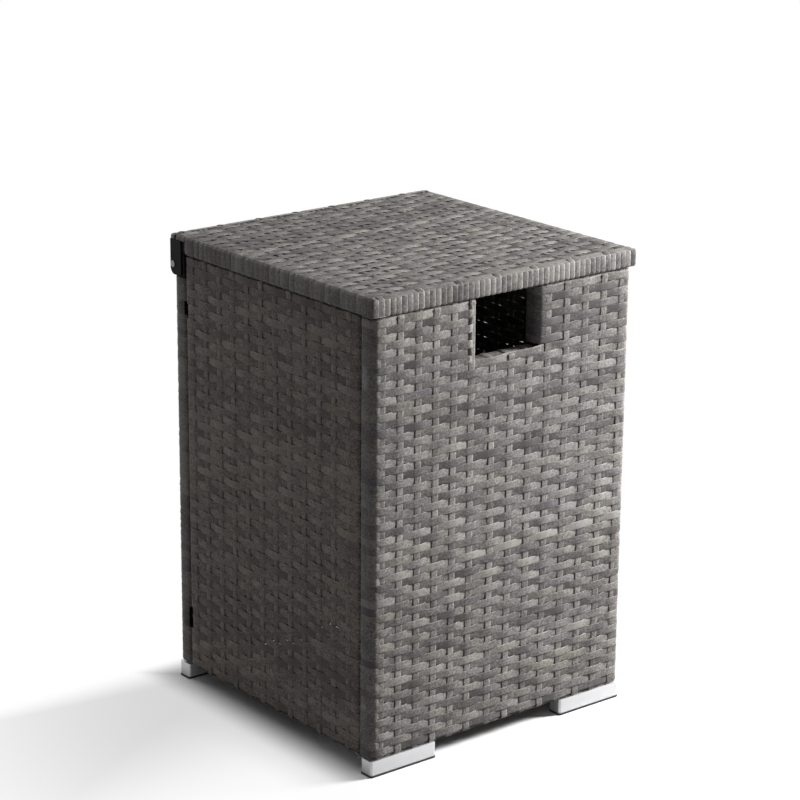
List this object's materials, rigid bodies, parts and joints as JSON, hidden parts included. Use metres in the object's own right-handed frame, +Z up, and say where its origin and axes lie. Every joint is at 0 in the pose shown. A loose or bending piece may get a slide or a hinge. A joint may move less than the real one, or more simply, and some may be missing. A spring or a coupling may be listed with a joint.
{
  "type": "propane tank cover table",
  "caption": "Square woven side table that stands over an upright gas tank, with a hinged lid, a hose window in the top of its front panel and low metal feet.",
  "frame": {"origin": "on the floor under the middle of the table", "axes": "+Z up, -Y towards the panel with the hose window, +X to the right when that panel is faced"},
  "size_m": [0.4, 0.4, 0.58],
  "materials": {
    "wicker": "flat woven resin strand in mixed warm and cool greys, dull sheen, fine lengthwise grain",
    "frame_steel": "black powder coat, semi-matt",
    "foot_aluminium": "satin, fine lengthwise brushing",
    "glide_plastic": "black moulded plastic, matt",
    "hinge_steel": "black paint, satin",
    "hinge_pin_steel": "plain zinc-plated rivet",
    "zinc_fastener": "zinc plated",
    "spacer_plastic": "black nylon, matt"
  },
  "bodies": {
    "root": {"front_panel_frame": "frame_steel", "front_panel_weave": "wicker", "front_panel_edge_wraps": "wicker", "back_panel_frame": "frame_steel", "back_panel_weave": "wicker", "back_panel_edge_wraps": "wicker", "left_panel_frame": "frame_steel", "left_panel_weave": "wicker", "left_panel_edge_wraps": "wicker", "right_panel_frame": "frame_steel", "right_panel_weave": "wicker", "right_panel_edge_wraps": "wicker", "front_left_foot": "foot_aluminium", "front_right_foot": "foot_aluminium", "back_left_foot": "foot_aluminium", "back_right_foot": "foot_aluminium", "front_left_glide": "glide_plastic", "front_right_glide": "glide_plastic", "back_left_glide": "glide_plastic", "back_right_glide": "glide_plastic", "front_left_foot_screws": "zinc_fastener", "front_right_foot_screws": "zinc_fastener", "back_left_foot_screws": "zinc_fastener", "back_right_foot_screws": "zinc_fastener", "front_left_joint_bolts": "zinc_fastener", "front_right_joint_bolts": "zinc_fastener", "back_left_joint_bolts": "zinc_fastener", "back_right_joint_bolts": "zinc_fastener", "front_left_joint_spacers": "spacer_plastic", "front_right_joint_spacers": "spacer_plastic", "back_left_joint_spacers": "spacer_plastic", "back_right_joint_spacers": "spacer_plastic", "front_left_joint_inserts": "zinc_fastener", "front_right_joint_inserts": "zinc_fastener", "back_left_joint_inserts": "zinc_fastener", "back_right_joint_inserts": "zinc_fastener", "left_body_hinge_plate": "hinge_steel", "left_hinge_pin": "hinge_pin_steel", "right_body_hinge_plate": "hinge_steel", "right_hinge_pin": "hinge_pin_steel"},
    "lid": {"lid_frame": "frame_steel", "lid_weave": "wicker", "lid_edge_wraps": "wicker", "left_lid_hinge_plate": "hinge_steel", "right_lid_hinge_plate": "hinge_steel"}
  },
  "joints": [
    {"name": "lid_hinge", "type": "hinge", "parent": "root", "child": "lid", "pos_m": [0, 0.1945, 0.542], "axis": [-1, 0, 0], "range_deg": [0, 100]}
  ]
}
